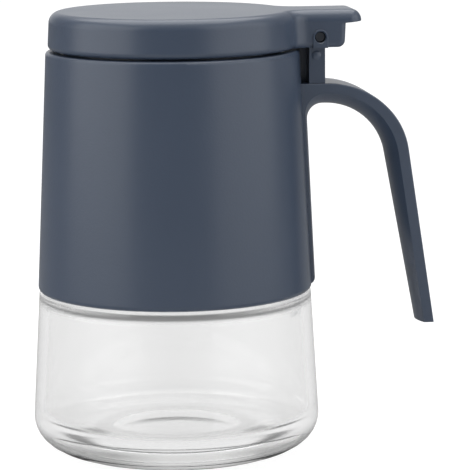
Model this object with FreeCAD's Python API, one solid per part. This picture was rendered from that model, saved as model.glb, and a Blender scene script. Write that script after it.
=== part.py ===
import FreeCAD, Part
import math
import os

# Table jar of clear glass with a moulded plastic sleeve, a C-shaped handle and a hinged lid.
# Millimetres, +Z up. The origin is on the jar's axis at the surface it stands on, and the
# handle points along +X, so the model is symmetric about the XZ plane.

V = FreeCAD.Vector
AXIS_Z = V(0, 0, 1)
AXIS_Y = V(0, 1, 0)
BIG = 200.0  # reach of cutting blocks, well past the whole jar
NEAR = 0.01  # two lengths this close are the same
OVERRUN = 1.0  # how far a cutting or joining block runs past the face it meets

# ---- glass jar -------------------------------------------------------------------------
foot_r = 24.7  # flat ring that the jar stands on
foot_ring_w = 5.7
punt_h = 1.2  # the middle of the base is lifted clear of the table
belly_r = 42.9  # widest place, just above the rounded heel
heel_h = 11.7
heel_pull = 17.9  # how far the heel's curve runs out flat before it turns up
heel_turn = 2.4
shoulder_r = 40.7  # the visible body's radius where the shoulder turns in
shoulder_round = 1.2
body_h = 49.2  # height of the ledge that the sleeve stands on
glass_wall = 2.7
floor_t = 8.4
floor_crown = 0.9
floor_corner = 6.0
ledge_w = 2.9
neck_h = 69.8  # the neck runs up inside the sleeve
neck_lean = 2.4  # and closes in by this much
neck_wall = 2.0
ledge_t = 2.2  # glass under the ledge, at the middle of the inside's turn
inner_turn_h = 2.4  # of the inside's turn from body to neck, on each side of its middle

# ---- sleeve ----------------------------------------------------------------------------
sleeve_foot_proud = 0.35  # the sleeve's foot stands out past the glass
sleeve_top_wall = 1.96
sleeve_foot_round = 1.3
sleeve_top_round = 1.0
sleeve_clearance = 0.3  # round the neck and over the glass rim
flange_t = 1.45  # inward flange over the glass rim

# ---- lid -------------------------------------------------------------------------------
lid_gap = 0.55  # shadow gap between the shut lid and the sleeve
lid_setback = 0.66  # of the lid's wall from the sleeve's
lid_lean = 0.6  # the round wall leans in a little towards the top
lid_h = 11.2
lid_round = 3.3  # one rounding runs round the lid, the tail and the tab
lid_wall = 1.9
collar_clearance = 0.8  # round the ring under the lid that drops into the mouth
collar_wall = 1.6
collar_round = 0.75  # on both edges of the ring's foot
collar_depth = 3.2

# ---- hinge -----------------------------------------------------------------------------
hinge_out = 5.24  # of the pin's axis from the sleeve's top edge
hinge_up = 3.2  # of the pin's axis from the lid's foot
pin_r = 1.6
pin_running = 0.05  # clearance in the lid's ears
pin_recess = 0.8  # the pin's ends lie below the ears' faces
pin_chamfer = 0.27
side_clearance = 0.3  # between the post and each ear
barrel_r = 3.2
post_front = 3.1  # of the post's front face from the pin's axis
post_back = 1.65
post_setback = 0.65  # the post's cheeks lie behind the handle's flanks
web_t = 4.0
web_clearance = 0.3  # under the lid
bump_out = 1.0  # detent bump, in front of and below the pin's axis
bump_down = 5.5
bump_r = 1.45
bump_h = 0.5

# ---- lid's tail: two ears over the hinge, a back wall and a thumb tab ------------------
tail_root_r = 5.5  # hollow where the tail's sides run into the round wall
tail_back = 7.8  # of the back wall from the pin's axis
tail_back_lean = 0.35  # the back wall leans in by this much towards its foot
tail_back_r = 1.5
ear_wall = 1.4
ear_corner_r = 2.2
back_wall = 1.7
stop_clearance = 0.1  # of the back wall's edge from the post when the lid is fully open
room_front = 5.3  # front of the hollow between the ears, from the pin's axis
tab_len = 5.0
tab_root_drop = 3.9  # of the tab's underside from the lid's top, at the back wall
tab_tip_drop = 3.5
tab_corner_r = 3.8
tab_edge = 0.2  # upright edge left under the rounding at the tab's tip
boss_r = 2.3
boss_proud = 0.3
boss_round = 0.25

# ---- handle ----------------------------------------------------------------------------
handle_w = 17.2  # width at the top arm
handle_end_w = 14.0
arm_drop = 10.1  # of the arm's top from the sleeve's top
arm_run = 7.64  # flat stretch of the arm's top, from the sleeve's top edge
bend_r1 = 25.5
bend_turn1 = math.radians(50)
bend_r2 = 22.5
grip_lean = math.radians(8.6)  # the grip's outer face, off the vertical
grip_h = 73.35  # from the arm's top down to the grip's end
side_t = 2.9  # flat flank of the handle, before the rounded inner face
arm_crown = 3.75  # how far the rounded inner face stands out past the flanks
grip_crown = 3.4
end_crown = 1.55
inner_bend_r = 18.4
corner_r = 4.6
strip_proud = 1.35  # rib down the sleeve that carries the handle
strip_crown = 1.5
strip_lift = 1.2  # of the rib's foot from the sleeve's
strip_foot_round = 1.3
handle_edge_round = 0.45
inner_face_steps = 6  # sections that shape the rounded inner face, on each side of its middle

# ---- worked out from the above ---------------------------------------------------------
rim_z = body_h + neck_h
neck_low_r = shoulder_r - ledge_w
neck_top_r = neck_low_r - neck_lean
mouth_r = neck_top_r - neck_wall
flange_low_z = rim_z + sleeve_clearance
sleeve_top_z = flange_low_z + flange_t
sleeve_top_r = neck_top_r + sleeve_clearance + sleeve_top_wall
sleeve_foot_r = shoulder_r + sleeve_foot_proud
sleeve_taper = (sleeve_foot_r - sleeve_top_r) / (sleeve_top_z - body_h)
lid_foot_z = sleeve_top_z + lid_gap
lid_top_z = lid_foot_z + lid_h
lid_foot_r = sleeve_top_r - lid_setback
lid_edge_r = lid_foot_r - lid_lean
collar_r = mouth_r - collar_clearance
collar_low_z = sleeve_top_z - collar_depth
hinge_x = sleeve_top_r + hinge_out
hinge_z = lid_foot_z + hinge_up
half_w = handle_w / 2
post_half_w = half_w - post_setback
ear_in = post_half_w + side_clearance
tail_half_w = ear_in + ear_wall
tail_back_x = hinge_x + tail_back
tab_tip_x = tail_back_x + tab_len
tab_root_z = lid_top_z - tab_root_drop
tab_tip_z = lid_top_z - tab_tip_drop
back_wall_low_z = hinge_z + post_back + stop_clearance
arm_top_z = sleeve_top_z - arm_drop
grip_end_z = arm_top_z - grip_h
strip_foot_z = body_h + strip_lift
bump_x = hinge_x - bump_out
bump_z = hinge_z - bump_down


def polyline(points):
    """Straight edges through points, as a list."""
    return [Part.LineSegment(a, b).toShape() for a, b in zip(points, points[1:])]


def arc(a, b, c):
    return Part.Arc(a, b, c).toShape()


def revolved(edges):
    """Solid of revolution about Z of a closed outline in the XZ plane."""
    return Part.Face(Part.Wire(edges)).revolve(V(0, 0, 0), AXIS_Z, 360)


def prism_y(edges, half):
    """Outline in the XZ plane, thickened to half on each side of it."""
    face = Part.Face(Part.Wire(edges))
    face.translate(V(0, -half, 0))
    return face.extrude(V(0, 2 * half, 0))


def block(x0, x1, half, z0, z1):
    return Part.makeBox(x1 - x0, 2 * half, z1 - z0, V(x0, -half, z0))


def rod_y(x, z, radius, half):
    """Cylinder along Y, centred on the XZ plane."""
    return Part.makeCylinder(radius, 2 * half, V(x, -half, z), AXIS_Y)


def half_corner(before, corner, after):
    """Half the angle between the two sides of a corner."""
    return (before - corner).getAngle(after - corner) / 2


def rounded(before, corner, after, radius):
    """Tangent points and middle of a fillet in a corner of the XZ plane."""
    u = (before - corner).normalize()
    w = (after - corner).normalize()
    half_angle = half_corner(before, corner, after)
    reach = radius / math.tan(half_angle)
    centre = corner + (u + w).normalize() * (radius / math.sin(half_angle))
    middle = centre + (corner - centre).normalize() * radius
    return corner + u * reach, middle, corner + w * reach


def cap(radius, z, rise):
    """Circular arc from a rim round the axis up to its top on the axis."""
    sphere_r = (radius**2 + rise**2) / (2 * rise)
    half_angle = math.asin(radius / sphere_r) / 2
    middle = V(sphere_r * math.sin(half_angle), 0, z + rise - sphere_r * (1 - math.cos(half_angle)))
    return arc(V(radius, 0, z), middle, V(0, 0, z + rise))


def sleeve_r(z):
    """Outer radius of the sleeve's wall at a height."""
    return sleeve_foot_r - sleeve_taper * (z - body_h)


def glass_jar():
    """Heavy-based jar: heel, tapered body, ledge for the sleeve, and a neck with a rounded rim."""
    turn_z = body_h - shoulder_round
    belly = V(belly_r, 0, heel_h)
    foot = V(foot_r, 0, 0)
    wall_dir = V(shoulder_r - belly_r, 0, turn_z - heel_h).normalize()
    heel = Part.BezierCurve()
    heel.setPoles([foot, foot + V(heel_pull, 0, 0), belly - wall_dir * heel_turn, belly])
    ledge_corner = V(shoulder_r, 0, body_h)
    neck_foot = V(neck_low_r, 0, body_h)
    shoulder = rounded(belly, ledge_corner, neck_foot, shoulder_round)
    rim_half = neck_wall / 2
    rim_out = V(neck_top_r, 0, rim_z - rim_half)
    rim_mid = V(neck_top_r - rim_half, 0, rim_z)
    rim_in = V(mouth_r, 0, rim_z - rim_half)
    inside_low = V(belly_r - glass_wall, 0, floor_t)
    roof_z = body_h - ledge_t
    inside_high = V(shoulder_r - glass_wall, 0, roof_z - inner_turn_h)
    neck_inside = V(neck_low_r - neck_wall, 0, roof_z + inner_turn_h)
    inner_turn = Part.BezierCurve()
    lift = V(0, 0, inner_turn_h)
    inner_turn.setPoles([neck_inside, neck_inside - lift, inside_high + lift, inside_high])
    corner = rounded(inside_high, inside_low, V(0, 0, floor_t), floor_corner)
    punt_r = foot_r - foot_ring_w
    edges = [heel.toShape()]
    edges += polyline([belly, shoulder[0]]) + [arc(*shoulder)]
    edges += polyline([shoulder[2], neck_foot, rim_out])
    edges += [arc(rim_out, rim_mid, rim_in)]
    edges += polyline([rim_in, neck_inside]) + [inner_turn.toShape()]
    edges += polyline([inside_high, corner[0]]) + [arc(*corner)]
    edges += [cap(corner[2].x, floor_t, floor_crown)]
    edges += polyline([V(0, 0, floor_t + floor_crown), V(0, 0, punt_h)])
    edges += [cap(punt_r, 0, punt_h)]
    edges += polyline([V(punt_r, 0, 0), foot])
    return revolved(edges)


def sleeve():
    """Tapered plastic sleeve that stands on the ledge, with a flange over the glass rim."""
    foot_out = V(sleeve_foot_r, 0, body_h)
    top_out = V(sleeve_top_r, 0, sleeve_top_z)
    foot_in = V(neck_low_r + sleeve_clearance, 0, body_h)
    flange_in = V(mouth_r, 0, sleeve_top_z)
    foot = rounded(foot_in, foot_out, top_out, sleeve_foot_round)
    top = rounded(foot_out, top_out, flange_in, sleeve_top_round)
    lip_r = (sleeve_top_z - flange_low_z) / 2
    lip = V(mouth_r, 0, sleeve_top_z - lip_r)
    lip_top = V(mouth_r + lip_r, 0, sleeve_top_z)
    lip_low = V(mouth_r + lip_r, 0, flange_low_z)
    edges = polyline([foot_in, foot[0]]) + [arc(*foot)]
    edges += polyline([foot[2], top[0]]) + [arc(*top)]
    edges += polyline([top[2], lip_top]) + [arc(lip_top, lip, lip_low)]
    edges += polyline([lip_low, V(neck_top_r + sleeve_clearance, 0, flange_low_z), foot_in])
    return revolved(edges)


def handle_outline():
    """Outer side of the handle in the XZ plane: arm, two-radius bend, leaning grip, end."""
    arm_bend_x = sleeve_top_r + arm_run
    centre1 = V(arm_bend_x, 0, arm_top_z - bend_r1)

    def on_arc(centre, radius, turn):
        return centre + V(radius * math.sin(turn), 0, radius * math.cos(turn))

    join = on_arc(centre1, bend_r1, bend_turn1)
    centre2 = centre1 + (join - centre1) * (1 - bend_r2 / bend_r1)
    last_turn = math.pi / 2 - grip_lean
    grip_top = on_arc(centre2, bend_r2, last_turn)
    fall = grip_top.z - grip_end_z
    grip_end = V(grip_top.x + fall * math.tan(grip_lean), 0, grip_end_z)
    start = V(arm_bend_x, 0, arm_top_z)
    arcs = [
        arc(start, on_arc(centre1, bend_r1, bend_turn1 / 2), join),
        arc(join, on_arc(centre2, bend_r2, (bend_turn1 + last_turn) / 2), grip_top),
    ]
    return start, arcs, grip_top, grip_end


def finger_gap_outline(y, grip_top, grip_end):
    """The gap's outline at a distance y from the handle's middle plane.

    The gap is tightest in the middle and opens towards the flanks, which gives the
    handle its rounded inner face.
    """
    open_up = (y / half_w) ** 2
    open_up_end = (y / (handle_end_w / 2)) ** 2
    inward = V(-math.cos(grip_lean), 0, -math.sin(grip_lean))
    arm_z = arm_top_z - side_t - arm_crown * (1 - open_up)
    grip_a = grip_top + inward * (side_t + grip_crown * (1 - open_up))
    grip_b = grip_end + inward * (side_t + end_crown * (1 - open_up_end))
    slope = (grip_b.x - grip_a.x) / (grip_b.z - grip_a.z)
    far_low_z = grip_end_z - side_t
    arm_grip = V(grip_a.x + slope * (arm_z - grip_a.z), 0, arm_z)
    grip_low = V(grip_a.x + slope * (far_low_z - grip_a.z), 0, far_low_z)

    def strip(z):
        return V(sleeve_r(z) + strip_proud - strip_crown * open_up, 0, z)

    strip_arm = strip(arm_z)
    strip_foot = strip(strip_foot_z)
    behind = V(0, 0, strip_foot_z)
    low_back = V(0, 0, far_low_z)
    foot = rounded(behind, strip_foot, strip_arm, strip_foot_round)
    corner = rounded(strip_foot, strip_arm, arm_grip, corner_r + strip_crown * open_up)
    room = (arm_grip - corner[2]).Length - NEAR
    most_r = room * math.tan(half_corner(strip_arm, arm_grip, grip_low))
    bend_r = min(inner_bend_r + arm_crown * open_up, most_r)
    bend = rounded(strip_arm, arm_grip, grip_low, bend_r)
    edges = polyline([low_back, behind, foot[0]]) + [arc(*foot)]
    edges += polyline([foot[2], corner[0]]) + [arc(*corner)]
    edges += polyline([corner[2], bend[0]]) + [arc(*bend)]
    edges += polyline([bend[2], grip_low, low_back])
    wire = Part.Wire(edges)
    wire.translate(V(0, y, 0))
    return wire


def handle():
    """One moulding: rib down the sleeve, arm, grip with a rounded inner face, and hinge post."""
    start, arcs, grip_top, grip_end = handle_outline()
    post_x1 = hinge_x + post_back
    back_top = V(0, 0, arm_top_z)
    back_low = V(0, 0, grip_end_z)
    outline = polyline([back_top, start]) + arcs + polyline([grip_top, grip_end, back_low, back_top])
    body = prism_y(outline, BIG / 2)

    # the flanks close in from the arm down to the grip's end
    end_half = handle_end_w / 2
    low_z = grip_end_z
    flanks = [
        V(0, -half_w, arm_top_z),
        V(0, half_w, arm_top_z),
        V(0, end_half, low_z),
        V(0, -end_half, low_z),
        V(0, -half_w, arm_top_z),
    ]
    body = body.common(Part.Face(Part.makePolygon(flanks)).extrude(V(BIG, 0, 0)))

    def on_outer_edge(edge):
        mid = edge.valueAt((edge.FirstParameter + edge.LastParameter) / 2)
        on_flank = abs(mid.y) > end_half - NEAR
        return on_flank and mid.x > post_x1 and mid.z > grip_end_z + NEAR

    body = body.makeFillet(handle_edge_round, [e for e in body.Edges if on_outer_edge(e)])
    steps = range(-inner_face_steps - 1, inner_face_steps + 2)
    stations = [half_w * step / inner_face_steps for step in steps]
    gap = Part.makeLoft([finger_gap_outline(y, grip_top, grip_end) for y in stations], True, False)
    body = body.cut(gap)

    post_x0 = hinge_x - post_front
    root_z = arm_top_z - side_t
    post = block(post_x0, post_x1, post_half_w, root_z, hinge_z)
    barrel = rod_y(hinge_x, hinge_z, barrel_r, post_half_w)
    web = block(0, post_x0 + OVERRUN, web_t / 2, root_z, lid_foot_z - web_clearance)
    dome_r = (bump_r**2 + bump_h**2) / (2 * bump_h)
    bump_y = post_half_w + bump_h - dome_r
    bumps = [Part.makeSphere(dome_r, V(bump_x, side * bump_y, bump_z)) for side in (-1, 1)]
    bumps = [b.common(block(post_x0, post_x1, post_half_w + bump_h, root_z, hinge_z)) for b in bumps]
    body = body.multiFuse([post, barrel, web] + bumps)

    # the back of the rib and the web fit the sleeve's wall
    body = body.cut(Part.makeCone(sleeve_r(0), sleeve_r(BIG), BIG))
    return body.cut(rod_y(hinge_x, hinge_z, pin_r, BIG / 2))


def hinge_pin():
    """Plain pin, pressed into the post's barrel, that the lid's ears turn on."""
    pin = rod_y(hinge_x, hinge_z, pin_r, tail_half_w - pin_recess)
    ends = [e for e in pin.Edges if e.Curve.TypeId == "Part::GeomCircle"]
    return pin.makeChamfer(pin_chamfer, ends)


def near(value, target):
    return abs(value - target) < NEAR


def level_edges(shape, z):
    """Edges of a shape that lie flat at a height."""
    return [e for e in shape.Edges if near(e.BoundBox.ZMin, z) and near(e.BoundBox.ZMax, z)]


def lid_block():
    """The lid's outside: round part, tail and tab in one outline, with one rounding on top."""
    disc = Part.makeCone(lid_foot_r, lid_edge_r, lid_h, V(0, 0, lid_foot_z))
    tail = block(0, tab_tip_x, tail_half_w, lid_foot_z, lid_top_z)
    corners = [e for e in tail.Edges if near(e.BoundBox.XMin, tab_tip_x) and near(e.BoundBox.ZLength, lid_h)]
    solid = disc.fuse(tail.makeFillet(tab_corner_r, corners))

    def in_root(edge):
        box = edge.BoundBox
        return near(abs(box.YMin), tail_half_w) and near(box.ZLength, lid_h) and box.XMax < lid_foot_r

    solid = solid.makeFillet(tail_root_r, [e for e in solid.Edges if in_root(e)])
    tab_t = min(tab_root_drop, tab_tip_drop)
    edge_round = min(lid_round, tab_t - tab_edge, tab_corner_r - NEAR)
    return solid.makeFillet(edge_round, level_edges(solid, lid_top_z))


def below_tab():
    """Cut that leaves the tab standing out over the tail's rounded back wall."""
    slope = (tab_tip_z - tab_root_z) / (tab_tip_x - tail_back_x)
    low_z = lid_foot_z - ear_corner_r
    back_top = V(tail_back_x, 0, tab_root_z)
    back_foot = V(tail_back_x - tail_back_lean, 0, lid_foot_z)
    corner = rounded(back_top, back_foot, V(0, 0, lid_foot_z), ear_corner_r)
    far_top = V(BIG, 0, tab_root_z + slope * (BIG - tail_back_x))
    low = V(corner[2].x, 0, low_z)
    edges = polyline([V(BIG, 0, low_z), far_top, back_top, corner[0]]) + [arc(*corner)]
    edges += polyline([corner[2], low, V(BIG, 0, low_z)])
    return prism_y(edges, BIG / 2)


def lid_hollow():
    """Room under the lid, left inside its wall and top."""
    roof_z = lid_top_z - lid_wall
    low_r = lid_foot_r - lid_wall
    hollow = Part.makeCone(low_r, lid_edge_r - lid_wall, roof_z - lid_foot_z, V(0, 0, lid_foot_z))
    return hollow.makeFillet(lid_round - lid_wall, level_edges(hollow, roof_z))


def hinge_room():
    """Hollow between the ears, open below, and at the back up to the back wall's edge."""
    roof_z = lid_top_z - lid_wall
    front_x = hinge_x - room_front
    low_z = lid_foot_z - OVERRUN
    room = block(front_x, tail_back_x - back_wall, ear_in, low_z, roof_z)
    room = room.fuse(block(front_x, tab_tip_x, ear_in, low_z, back_wall_low_z))
    reach = math.hypot(bump_x - hinge_x, bump_z - hinge_z)
    track_w = bump_r + side_clearance
    track_half = post_half_w + bump_h + side_clearance
    track = rod_y(hinge_x, hinge_z, reach + track_w, track_half)
    track = track.cut(rod_y(hinge_x, hinge_z, reach - track_w, track_half))
    track_top_z = min(hinge_z + track_w, back_wall_low_z)
    return room.fuse(track.common(block(0, BIG, tail_half_w, 0, track_top_z)))


def collar():
    """Ring under the lid that drops into the mouth and centres the lid."""
    roof_z = lid_top_z - lid_wall / 2
    ring = Part.makeCylinder(collar_r, roof_z - collar_low_z, V(0, 0, collar_low_z))
    ring = ring.cut(Part.makeCylinder(collar_r - collar_wall, BIG))
    edge_round = min(collar_round, collar_wall / 2 - NEAR)
    return ring.makeFillet(edge_round, level_edges(ring, collar_low_z))


def hinge_boss():
    """Raised pad round each end of the pin, run straight down to the ear's foot."""
    half = tail_half_w + boss_proud
    boss = rod_y(hinge_x, hinge_z, boss_r, half)
    boss = boss.fuse(block(hinge_x - boss_r, hinge_x + boss_r, half, lid_foot_z, hinge_z))
    boss = boss.removeSplitter()

    def on_rim(edge):
        box = edge.BoundBox
        return near(abs(box.YMin), half) and near(box.YLength, 0) and box.ZMax > lid_foot_z + NEAR

    return boss.makeFillet(boss_round, [e for e in boss.Edges if on_rim(e)])


def lid():
    """Flat-topped lid with a hollow underside and a tail that straddles the post."""
    solid = lid_block().cut(below_tab())

    def on_back(edge):
        box = edge.BoundBox
        upright = near(abs(box.YMin), tail_half_w) and box.ZLength > ear_corner_r
        return upright and box.XMin > hinge_x + boss_r and near(box.ZMax, tab_root_z)

    solid = solid.makeFillet(tail_back_r, [e for e in solid.Edges if on_back(e)])
    solid = solid.fuse(hinge_boss()).cut(lid_hollow()).cut(hinge_room())
    solid = solid.fuse(collar())
    hole_r = pin_r + pin_running
    solid = solid.cut(rod_y(hinge_x, hinge_z, hole_r, BIG / 2))

    def at_mouth(edge):
        box = edge.BoundBox
        on_boss = near(abs(box.YMin), tail_half_w + boss_proud) and near(box.YLength, 0)
        return on_boss and near(box.ZMin, hinge_z - hole_r) and box.XLength < 2 * boss_r

    return solid.makeChamfer(boss_round, [e for e in solid.Edges if at_mouth(e)])


os.makedirs("parts", exist_ok=True)
PARTS = {
    "glass_jar": glass_jar,
    "sleeve": sleeve,
    "handle": handle,
    "lid": lid,
    "hinge_pin": hinge_pin,
}
for name, make in PARTS.items():
    shape = make()
    shape.exportStep(f"parts/{name}.step")
    print(name, shape.ShapeType, len(shape.Solids), round(shape.Volume, 1), shape.isValid())
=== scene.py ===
import math

import bpy
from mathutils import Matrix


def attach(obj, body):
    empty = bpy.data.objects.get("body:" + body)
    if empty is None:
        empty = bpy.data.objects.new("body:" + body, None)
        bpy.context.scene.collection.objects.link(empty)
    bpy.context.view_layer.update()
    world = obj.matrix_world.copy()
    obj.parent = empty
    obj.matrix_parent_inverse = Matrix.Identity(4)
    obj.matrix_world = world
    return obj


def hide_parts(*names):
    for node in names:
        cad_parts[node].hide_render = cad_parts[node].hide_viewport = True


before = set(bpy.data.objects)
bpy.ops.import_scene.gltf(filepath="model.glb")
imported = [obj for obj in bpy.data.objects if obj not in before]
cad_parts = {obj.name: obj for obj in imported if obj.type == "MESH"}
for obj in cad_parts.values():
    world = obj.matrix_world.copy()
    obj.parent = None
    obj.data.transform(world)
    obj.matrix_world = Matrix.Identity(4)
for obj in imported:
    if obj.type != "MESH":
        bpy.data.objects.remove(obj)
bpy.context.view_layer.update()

# Camera: a long lens on a stand, a little above the lid and a few degrees off square to the
# handle, so that the jar shows from the side and its upright lines stay nearly parallel.
CAMERA_PLACE = (-0.0837362, -0.7966968, 0.195958)
CAMERA_TURN = (1.40862911, 0.0078296, -0.12860658)  # in radians
SENSOR_WIDTH = 36  # in millimetres, as is the lens
LENS_LENGTH = 207.25
NEAREST_SEEN = 0.05
FARTHEST_SEEN = 50
bpy.ops.object.select_all(action="DESELECT")
bpy.ops.object.camera_add(location=CAMERA_PLACE, rotation=CAMERA_TURN)
camera = bpy.context.object
camera.data.sensor_width = SENSOR_WIDTH
camera.data.lens = LENS_LENGTH
camera.data.clip_start = NEAREST_SEEN
camera.data.clip_end = FARTHEST_SEEN
bpy.context.scene.camera = camera
bpy.context.scene.view_settings.view_transform = "Standard"

# Room: a studio that is dim on the camera's side, lighter at the sides and bright overhead.
# A white paper sweep hangs behind the jar, and shows in its gloss and through its glass.
WHITE = (1.0, 1.0, 1.0, 1.0)
ROOM_DIM = 0.05
ROOM_SIDE = 0.33
ROOM_OVERHEAD = 1.2
FRONT_WALL_Y = -0.8
SIDE_WALL_Y = 0.3
CEILING_LOW_Z = 0.2
CEILING_HIGH_Z = 0.9
SWEEP_EDGE_Y = 0.9
SWEEP_INSIDE_Y = 0.99
SWEEP_GAIN = 1.1


def fade(place, start, end, start_value=0.0, end_value=1.0):
    """Run from one value to the other while the place runs from start to end."""
    tree = place.id_data
    graded = tree.nodes.new("ShaderNodeMapRange")
    graded.inputs["From Min"].default_value = start
    graded.inputs["From Max"].default_value = end
    graded.inputs["To Min"].default_value = start_value
    graded.inputs["To Max"].default_value = end_value
    tree.links.new(place, graded.inputs["Value"])
    return graded.outputs["Result"]


def combine(operation, first, second=0.0):
    """Work one value out of two, or out of one and a number."""
    tree = first.id_data
    worked = tree.nodes.new("ShaderNodeMath")
    worked.operation = operation
    tree.links.new(first, worked.inputs[0])
    if isinstance(second, float):
        worked.inputs[1].default_value = second
    else:
        tree.links.new(second, worked.inputs[1])
    return worked.outputs["Value"]


room = bpy.data.worlds.new("studio_room")
bpy.context.scene.world = room
room.use_nodes = True
nodes = room.node_tree.nodes
links = room.node_tree.links
nodes.clear()
room_out = nodes.new("ShaderNodeOutputWorld")
room_light = nodes.new("ShaderNodeBackground")
room_light.inputs["Color"].default_value = WHITE
sweep_paper = nodes.new("ShaderNodeBackground")
sweep_paper.inputs["Color"].default_value = WHITE
sweep_paper.inputs["Strength"].default_value = 1.0
room_mix = nodes.new("ShaderNodeMixShader")
rays = nodes.new("ShaderNodeLightPath")
direction = nodes.new("ShaderNodeTexCoord")
split = nodes.new("ShaderNodeSeparateXYZ")
links.new(direction.outputs["Generated"], split.inputs["Vector"])
walls = fade(split.outputs["Y"], FRONT_WALL_Y, SIDE_WALL_Y, ROOM_DIM, ROOM_SIDE)
ceiling = fade(split.outputs["Z"], CEILING_LOW_Z, CEILING_HIGH_Z, ROOM_DIM, ROOM_OVERHEAD)
links.new(combine("MAXIMUM", walls, ceiling), room_light.inputs["Strength"])
sweep = fade(split.outputs["Y"], SWEEP_EDGE_Y, SWEEP_INSIDE_Y, 0.0, SWEEP_GAIN)
in_gloss = combine("MULTIPLY", sweep, rays.outputs["Is Glossy Ray"])
seen = combine("MAXIMUM", rays.outputs["Is Camera Ray"], rays.outputs["Is Transmission Ray"])
links.new(combine("MAXIMUM", seen, in_gloss), room_mix.inputs["Fac"])
links.new(room_light.outputs["Background"], room_mix.inputs[1])
links.new(sweep_paper.outputs["Background"], room_mix.inputs[2])
links.new(room_mix.outputs["Shader"], room_out.inputs["Surface"])

# Floor: a pale matt table that runs up to white for the camera and keeps a faint soft shadow.
# The jar's gloss shows it darker, so that the rounded undersides of the plastic stay deep, and
# through the glass it shows a painted shadow, a little darker towards the sides of its foot.
TABLE_RADIUS = 6.0
TABLE_SIDES = 96
TABLE_COLOUR = (0.9, 0.9, 0.9, 1.0)
TABLE_WHITE = 1.1
WHITE_SHARE = 0.85
GLOSS_FRONT_Y = -0.25
GLOSS_BACK_Y = 0.1
GLOSS_FRONT_TONE = 0.36
GLOSS_BACK_TONE = 0.2
FOOT_INSIDE_R = 0.040
FOOT_OUTSIDE_R = 0.050
FOOT_MIDDLE_X = 0.004
FOOT_SIDE_X = 0.026
FOOT_PAINTED_SHADOW_TONE = 0.92
bpy.ops.object.select_all(action="DESELECT")
bpy.ops.mesh.primitive_circle_add(
    vertices=TABLE_SIDES, radius=TABLE_RADIUS, fill_type="NGON", location=(0, 0, 0)
)
floor = bpy.context.object
floor.name = "floor"
floor_look = bpy.data.materials.new("pale_table")
floor_look.use_nodes = True
nodes = floor_look.node_tree.nodes
links = floor_look.node_tree.links
nodes.clear()
floor_out = nodes.new("ShaderNodeOutputMaterial")
table_matt = nodes.new("ShaderNodeBsdfDiffuse")
table_matt.inputs["Color"].default_value = TABLE_COLOUR
table_shade = nodes.new("ShaderNodeBsdfDiffuse")
table_glow = nodes.new("ShaderNodeEmission")
table_lit = nodes.new("ShaderNodeMixShader")
table_mix = nodes.new("ShaderNodeMixShader")
rays = nodes.new("ShaderNodeLightPath")
place = nodes.new("ShaderNodeTexCoord")
split = nodes.new("ShaderNodeSeparateXYZ")
from_middle = nodes.new("ShaderNodeVectorMath")
from_middle.operation = "LENGTH"
links.new(place.outputs["Object"], split.inputs["Vector"])
links.new(place.outputs["Object"], from_middle.inputs[0])
gloss_tone = fade(
    split.outputs["Y"], GLOSS_FRONT_Y, GLOSS_BACK_Y, GLOSS_FRONT_TONE, GLOSS_BACK_TONE
)
links.new(gloss_tone, table_shade.inputs["Color"])
links.new(rays.outputs["Is Glossy Ray"], table_lit.inputs["Fac"])
links.new(table_matt.outputs["BSDF"], table_lit.inputs[1])
links.new(table_shade.outputs["BSDF"], table_lit.inputs[2])
aside = combine("ABSOLUTE", split.outputs["X"])
# Painted shadow: through the glass, the table's glow is darker under the sides of the foot.
beyond_foot = fade(from_middle.outputs["Value"], FOOT_INSIDE_R, FOOT_OUTSIDE_R)
painted_foot_shadow = fade(aside, FOOT_MIDDLE_X, FOOT_SIDE_X, 1.0, FOOT_PAINTED_SHADOW_TONE)
table_tone = combine("MAXIMUM", beyond_foot, painted_foot_shadow)
open_tone = combine("MAXIMUM", table_tone, rays.outputs["Is Camera Ray"])
links.new(combine("MULTIPLY", open_tone, TABLE_WHITE), table_glow.inputs["Strength"])
seen = combine("MAXIMUM", rays.outputs["Is Camera Ray"], rays.outputs["Is Transmission Ray"])
links.new(combine("MULTIPLY", seen, WHITE_SHARE), table_mix.inputs["Fac"])
links.new(table_lit.outputs["Shader"], table_mix.inputs[1])
links.new(table_glow.outputs["Emission"], table_mix.inputs[2])
links.new(table_mix.outputs["Shader"], floor_out.inputs["Surface"])
floor.data.materials.append(floor_look)

# Lamps: a large soft box on each side and a little to the front, the left one stronger. A
# third soft box hangs nearly overhead, just behind the jar. All face the jar's middle.
JAR_MIDDLE_H = 0.07
LAMPS = (
    # name, degrees round from the front, degrees up, distance, width, height, watts
    ("left_box", -74, 13, 1.0, 1.25, 1.2, 9.3),
    ("right_box", 60, 13, 1.0, 1.25, 1.2, 6.8),
    ("top_box", 180, 76, 1.1, 1.4, 1.3, 15.0),
)
for name, degrees_round, degrees_up, distance, wide, tall, watts in LAMPS:
    across = math.radians(degrees_round)
    up = math.radians(degrees_up)
    level = distance * math.cos(up)
    lamp_height = JAR_MIDDLE_H + distance * math.sin(up)
    bpy.ops.object.light_add(
        type="AREA",
        location=(level * math.sin(across), -level * math.cos(across), lamp_height),
        rotation=(math.pi / 2 - up, 0, across),
    )
    lamp = bpy.context.object
    lamp.name = name
    lamp.data.shape = "RECTANGLE"
    lamp.data.size = wide
    lamp.data.size_y = tall
    lamp.data.energy = watts

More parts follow.
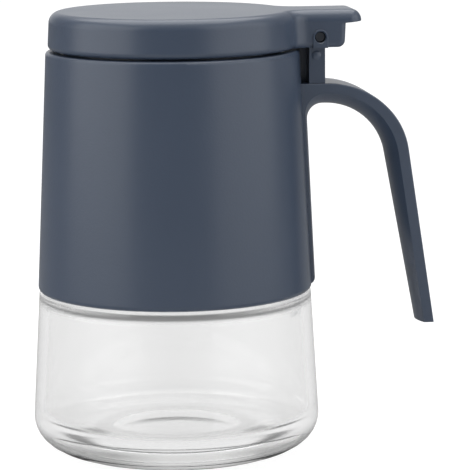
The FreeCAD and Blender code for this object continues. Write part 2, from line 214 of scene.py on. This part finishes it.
# Glass jar: pressed clear soda glass with a heavy rounded heel, a low punt under the base, a
# ledge for the sleeve, and a neck that runs up inside the sleeve to a fire-polished rim. The
# press leaves the base, the inner corner and the inner turn below the neck less polished.
PUNT_RISE = 0.0012
PUNT_R = 0.0190
PUNT_FLAT = 0.0063
FOOT_R = 0.0247
HEEL_R = 0.0429
HEEL_H = 0.0117
HEEL_SWEEP = 0.0179
HEEL_LIFT = 0.0024
HEEL_BULGE = 0.00015
EDGE_R = 0.04077
EDGE_H = 0.04807
EDGE_ROUND = 0.00063
EDGE_LEAN = 0.00004
LEDGE_R = 0.03957
LEDGE_H = 0.0492
NECK_FOOT_R = 0.0378
NECK_TOP_R = 0.0354
NECK_WALL = 0.0020
RIM_H = 0.1190
RIM_ROUND = NECK_WALL / 2
RIM_CURVE = 0.55 * RIM_ROUND
RIM_FOOT_H = RIM_H - RIM_ROUND
MOUTH_R = NECK_TOP_R - NECK_WALL
TURN_TOP_R = NECK_FOOT_R - NECK_WALL
TURN_TOP_H = 0.0494
TURN_FOOT_R = 0.0380
TURN_FOOT_H = 0.0446
TURN_MIDDLE_H = (TURN_TOP_H + TURN_FOOT_H) / 2
CORNER_TOP_R = 0.03983
CORNER_TOP_H = 0.01475
CORNER_FOOT_R = 0.03384
CORNER_FOOT_H = 0.0084
CORNER_ROUND = 0.00345
CORNER_LEAN = 0.0002
FLOOR_SLOPE_R = 0.0290
FLOOR_SLOPE_H = 0.00865
FLOOR_H = 0.0093
FLOOR_FLAT = 0.0113
GLASS_PROFILE = (
    # each point, then its two curve handles, as radius and height in metres
    ((0.0, PUNT_RISE), (-PUNT_FLAT, PUNT_RISE), (PUNT_FLAT, PUNT_RISE)),
    ((PUNT_R, 0.0), (PUNT_R - PUNT_FLAT, PUNT_RISE * 2 / 3), (PUNT_R, 0.0)),
    ((FOOT_R, 0.0), (FOOT_R, 0.0), (FOOT_R + HEEL_SWEEP, 0.0)),
    ((HEEL_R, HEEL_H), (HEEL_R + HEEL_BULGE, HEEL_H - HEEL_LIFT), (HEEL_R, HEEL_H)),
    ((EDGE_R, EDGE_H), (EDGE_R, EDGE_H), (EDGE_R - EDGE_LEAN, EDGE_H + EDGE_ROUND)),
    ((LEDGE_R, LEDGE_H), (LEDGE_R + EDGE_ROUND, LEDGE_H), (LEDGE_R, LEDGE_H)),
    ((NECK_FOOT_R, LEDGE_H), (NECK_FOOT_R, LEDGE_H), (NECK_FOOT_R, LEDGE_H)),
    (
        (NECK_TOP_R, RIM_FOOT_H),
        (NECK_TOP_R, RIM_FOOT_H),
        (NECK_TOP_R, RIM_FOOT_H + RIM_CURVE),
    ),
    (
        (NECK_TOP_R - RIM_ROUND, RIM_H),
        (NECK_TOP_R - RIM_ROUND + RIM_CURVE, RIM_H),
        (NECK_TOP_R - RIM_ROUND - RIM_CURVE, RIM_H),
    ),
    ((MOUTH_R, RIM_FOOT_H), (MOUTH_R, RIM_FOOT_H + RIM_CURVE), (MOUTH_R, RIM_FOOT_H)),
    ((TURN_TOP_R, TURN_TOP_H), (TURN_TOP_R, TURN_TOP_H), (TURN_TOP_R, TURN_MIDDLE_H)),
    ((TURN_FOOT_R, TURN_FOOT_H), (TURN_FOOT_R, TURN_MIDDLE_H), (TURN_FOOT_R, TURN_FOOT_H)),
    (
        (CORNER_TOP_R, CORNER_TOP_H),
        (CORNER_TOP_R, CORNER_TOP_H),
        (CORNER_TOP_R + CORNER_LEAN, CORNER_TOP_H - CORNER_ROUND),
    ),
    (
        (CORNER_FOOT_R, CORNER_FOOT_H),
        (CORNER_FOOT_R + CORNER_ROUND, CORNER_FOOT_H),
        (FLOOR_SLOPE_R, FLOOR_SLOPE_H),
    ),
    ((0.0, FLOOR_H), (FLOOR_FLAT, FLOOR_H), (-FLOOR_FLAT, FLOOR_H)),
)
CURVE_STEPS = 10
SPIN_STEPS = 160
MERGE_GAP = 0.00001
SLIVER_GAP = 0.000001
SHARP_ANGLE = 35
bpy.ops.object.select_all(action="DESELECT")
bpy.ops.curve.primitive_bezier_curve_add(location=(0, 0, 0))
jar = bpy.context.object
jar.name = "glass_body"
jar.data.resolution_u = CURVE_STEPS
spline = jar.data.splines[0]
spline.bezier_points.add(len(GLASS_PROFILE) - len(spline.bezier_points))
for point, (corner, before, after) in zip(spline.bezier_points, GLASS_PROFILE):
    point.handle_left_type = "FREE"
    point.handle_right_type = "FREE"
    point.co = (corner[0], 0, corner[1])
    point.handle_left = (before[0], 0, before[1])
    point.handle_right = (after[0], 0, after[1])
bpy.ops.object.convert(target="MESH")
bpy.ops.object.mode_set(mode="EDIT")
bpy.ops.mesh.select_all(action="SELECT")
bpy.ops.mesh.spin(steps=SPIN_STEPS, angle=math.tau, center=(0, 0, 0), axis=(0, 0, 1))
bpy.ops.mesh.select_all(action="SELECT")
bpy.ops.mesh.remove_doubles(threshold=MERGE_GAP)
bpy.ops.mesh.dissolve_degenerate(threshold=SLIVER_GAP)
bpy.ops.mesh.normals_make_consistent(inside=False)
bpy.ops.object.mode_set(mode="OBJECT")
bpy.ops.object.shade_smooth_by_angle(angle=math.radians(SHARP_ANGLE))

# Its material works from the height, the radius and the distance to the side, in metres. A
# pair of places is where a change of finish starts and where it ends.
GLASS_IOR = 1.5
WAVE_SCALE = 22.0
WAVE_DETAIL = 2.0
WAVE_STRENGTH = 0.25
WAVE_DEPTH = 0.0006
SHADE_BAND_REACH = 0.043
SHADE_BAND_PLACES = (0.0, 0.5, 0.8, 1.0)
SHADE_BAND_TONES = (0.897, 0.935, 0.915, 0.89)
HEEL_PAINTED_SHADE = (0.17, 0.173, 0.17, 1.0)
HEEL_SHADE_LOW = (0.0002, 0.0015)
HEEL_SHADE_HIGH = (0.0070, 0.0105)
HEEL_SHADE_SIDE = (0.008, 0.022)
HEEL_SHADE_FRONT_SHARE = 0.42
HEEL_SHADE_SIDE_SHARE = 0.95
WALL_MIDDLE_R = 0.0405
BELOW_FLOOR_H = 0.0082
POLISHED = 0.02
PRESSED = 0.35
TURN_INSIDE_R = 0.039
MATT_TURN_LOW = (0.0440, 0.0455)
MATT_TURN_HIGH = (0.0495, 0.0505)
MATT_CORNER_RING = (0.0270, 0.0335)
MATT_CORNER_LOW = (0.0070, 0.0084)
MATT_CORNER_HIGH = (0.0130, 0.0200)
MATT_CORNER_SHARE = 0.55
MATT_BASE_HIGH = (0.0010, 0.0025)
MATT_BASE_SHARE = 0.15
MOST_BOUNCES = 3.5
PALE_GLOW = 0.95
TURN_GLOW = 0.17
glass = bpy.data.materials.new("clear_glass")
glass.use_nodes = True
nodes = glass.node_tree.nodes
links = glass.node_tree.links
shader = nodes["Principled BSDF"]
shader.inputs["IOR"].default_value = GLASS_IOR
shader.inputs["Transmission Weight"].default_value = 1.0
rays = nodes.new("ShaderNodeLightPath")
place = nodes.new("ShaderNodeTexCoord")
split = nodes.new("ShaderNodeSeparateXYZ")
level_part = nodes.new("ShaderNodeVectorMath")
level_part.operation = "MULTIPLY"
level_part.inputs[1].default_value = (1.0, 1.0, 0.0)
from_axis = nodes.new("ShaderNodeVectorMath")
from_axis.operation = "LENGTH"
links.new(place.outputs["Object"], split.inputs["Vector"])
links.new(place.outputs["Object"], level_part.inputs[0])
links.new(level_part.outputs["Vector"], from_axis.inputs[0])
height = split.outputs["Z"]
aside = combine("ABSOLUTE", split.outputs["X"])
radius = from_axis.outputs["Value"]

# The pressed surface has slow waves.
waves = nodes.new("ShaderNodeTexNoise")
waves.inputs["Scale"].default_value = WAVE_SCALE
waves.inputs["Detail"].default_value = WAVE_DETAIL
relief = nodes.new("ShaderNodeBump")
relief.inputs["Strength"].default_value = WAVE_STRENGTH
relief.inputs["Distance"].default_value = WAVE_DEPTH
links.new(place.outputs["Object"], waves.inputs["Vector"])
links.new(waves.outputs["Fac"], relief.inputs["Height"])
links.new(relief.outputs["Normal"], shader.inputs["Normal"])

# Painted shade: the wall's colour is painted in upright bands across its width, darker at the
# middle and at the sides, and the thick heel is painted darker towards its sides.
painted_wall_shade = nodes.new("ShaderNodeValToRGB")
painted_wall_shade.color_ramp.interpolation = "EASE"
for between in SHADE_BAND_PLACES[1:-1]:
    painted_wall_shade.color_ramp.elements.new(between)
for stop, tone in zip(painted_wall_shade.color_ramp.elements, SHADE_BAND_TONES):
    stop.color = (tone, tone, tone, 1.0)
links.new(fade(aside, 0.0, SHADE_BAND_REACH), painted_wall_shade.inputs["Fac"])
# Painted shade: for camera rays alone, the heel's colour is painted darker near the table and
# towards its sides.
heel_band = combine("MULTIPLY", fade(height, *HEEL_SHADE_LOW), fade(height, *HEEL_SHADE_HIGH, 1.0, 0.0))
heel_sides = fade(aside, *HEEL_SHADE_SIDE, HEEL_SHADE_FRONT_SHARE, HEEL_SHADE_SIDE_SHARE)
outer_wall = combine("GREATER_THAN", radius, WALL_MIDDLE_R)
below_floor = combine("LESS_THAN", height, BELOW_FLOOR_H)
outer_skin = combine("MAXIMUM", outer_wall, below_floor)
heel = combine("MULTIPLY", combine("MULTIPLY", heel_band, heel_sides), outer_skin)
heel_shade_mix = nodes.new("ShaderNodeMix")
heel_shade_mix.data_type = "RGBA"
heel_shade_mix.inputs[7].default_value = HEEL_PAINTED_SHADE
links.new(combine("MULTIPLY", heel, rays.outputs["Is Camera Ray"]), heel_shade_mix.inputs[0])
links.new(painted_wall_shade.outputs["Color"], heel_shade_mix.inputs[6])
links.new(heel_shade_mix.outputs[2], shader.inputs["Base Color"])

# The inner turn, the inner corner and the base are less polished.
turn_band = combine(
    "MULTIPLY", fade(height, *MATT_TURN_LOW), fade(height, *MATT_TURN_HIGH, 1.0, 0.0)
)
turn = combine("MULTIPLY", turn_band, combine("LESS_THAN", radius, TURN_INSIDE_R))
corner_foot = fade(height, *MATT_CORNER_LOW)
corner_top = fade(height, *MATT_CORNER_HIGH, MATT_CORNER_SHARE, 0.0)
corner_band = combine("MULTIPLY", corner_foot, corner_top)
inside_wall = combine("LESS_THAN", radius, WALL_MIDDLE_R)
corner_ring = combine("MULTIPLY", inside_wall, fade(radius, *MATT_CORNER_RING))
inner_corner = combine("MULTIPLY", corner_band, corner_ring)
base = fade(height, *MATT_BASE_HIGH, MATT_BASE_SHARE, 0.0)
pressed = combine("MAXIMUM", combine("MAXIMUM", turn, inner_corner), base)
links.new(fade(pressed, 0.0, 1.0, POLISHED, PRESSED), shader.inputs["Roughness"])

# Painted light: the glass glows pale where a ray has bounced more than three times inside the
# thick glass, and faintly at the inner turn.
caught = combine("GREATER_THAN", rays.outputs["Glossy Depth"], MOST_BOUNCES)
at_turn = combine("MINIMUM", rays.outputs["Transmission Depth"], TURN_GLOW)
pale = nodes.new("ShaderNodeEmission")
pale.inputs["Color"].default_value = WHITE
pale.inputs["Strength"].default_value = PALE_GLOW
glass_mix = nodes.new("ShaderNodeMixShader")
links.new(
    combine("MAXIMUM", caught, combine("MULTIPLY", at_turn, turn)), glass_mix.inputs["Fac"]
)
links.new(shader.outputs["BSDF"], glass_mix.inputs[1])
links.new(pale.outputs["Emission"], glass_mix.inputs[2])
links.new(glass_mix.outputs["Shader"], nodes["Material Output"].inputs["Surface"])
jar.data.materials.append(glass)
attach(jar, "jar")
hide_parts("glass_jar")

# Sleeve: a tapered tube of injection-moulded plastic with a fine matte texture, pushed over
# the glass neck down to the ledge. The sleeve, handle and lid are one moulded slate blue.
SLATE = (0.031, 0.044, 0.070, 1.0)
SLATE_DEEP = (0.028, 0.040, 0.064, 1.0)
PLASTIC_IOR = 1.5
CLOUD_SCALE = 35.0
CLOUD_DETAIL = 4.0
PLASTIC_SMOOTHEST = 0.28
PLASTIC_ROUGHEST = 0.36
GRAIN_SCALE = 1500.0
GRAIN_DETAIL = 3.0
GRAIN_STRENGTH = 0.5
GRAIN_DEPTH = 0.00006


def moulded_plastic(name, colour, darker):
    """Matte moulded plastic: two close tones in soft clouds, and a fine grain."""
    plastic = bpy.data.materials.new(name)
    plastic.use_nodes = True
    nodes = plastic.node_tree.nodes
    links = plastic.node_tree.links
    shader = nodes["Principled BSDF"]
    shader.inputs["IOR"].default_value = PLASTIC_IOR
    place = nodes.new("ShaderNodeTexCoord")
    clouds = nodes.new("ShaderNodeTexNoise")
    clouds.inputs["Scale"].default_value = CLOUD_SCALE
    clouds.inputs["Detail"].default_value = CLOUD_DETAIL
    tone = nodes.new("ShaderNodeMix")
    tone.data_type = "RGBA"
    tone.inputs[6].default_value = darker
    tone.inputs[7].default_value = colour
    grain = nodes.new("ShaderNodeTexNoise")
    grain.inputs["Scale"].default_value = GRAIN_SCALE
    grain.inputs["Detail"].default_value = GRAIN_DETAIL
    relief = nodes.new("ShaderNodeBump")
    relief.inputs["Strength"].default_value = GRAIN_STRENGTH
    relief.inputs["Distance"].default_value = GRAIN_DEPTH
    polish = fade(clouds.outputs["Fac"], 0.0, 1.0, PLASTIC_SMOOTHEST, PLASTIC_ROUGHEST)
    links.new(place.outputs["Object"], clouds.inputs["Vector"])
    links.new(place.outputs["Object"], grain.inputs["Vector"])
    links.new(clouds.outputs["Fac"], tone.inputs[0])
    links.new(tone.outputs[2], shader.inputs["Base Color"])
    links.new(polish, shader.inputs["Roughness"])
    links.new(grain.outputs["Fac"], relief.inputs["Height"])
    links.new(relief.outputs["Normal"], shader.inputs["Normal"])
    return plastic


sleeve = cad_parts["sleeve"]
sleeve.data.materials.clear()
sleeve.data.materials.append(moulded_plastic("sleeve_plastic", SLATE, SLATE_DEEP))

# Handle: one moulding of the same plastic, with the rib that joins it to the sleeve, the
# curved open-ended arm, and the upright post between the lid's ears that carries the hinge.
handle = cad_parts["handle"]
handle.data.materials.clear()
handle.data.materials.append(moulded_plastic("handle_plastic", SLATE, SLATE_DEEP))

# Hinge pin: a short plain pin, pressed into the handle's post. The lid's ears turn on it, and
# its ends lie a little below their faces. Its plastic is painted far darker than the lid's, as
# painted shade for those ends.
PIN_SHADED = (0.014, 0.018, 0.026, 1.0)
PIN_SHADED_DEEP = (0.009, 0.012, 0.018, 1.0)
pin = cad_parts["hinge_pin"]
pin.data.materials.clear()
pin.data.materials.append(moulded_plastic("pin_plastic", PIN_SHADED, PIN_SHADED_DEEP))

# Lid: a hollow moulding with a collar that drops into the mouth, a tail whose two ears turn
# on the hinge pin, and a thumb tab at the end of the tail that opens it.
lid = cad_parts["lid"]
lid.data.materials.clear()
lid.data.materials.append(moulded_plastic("lid_plastic", SLATE, SLATE_DEEP))
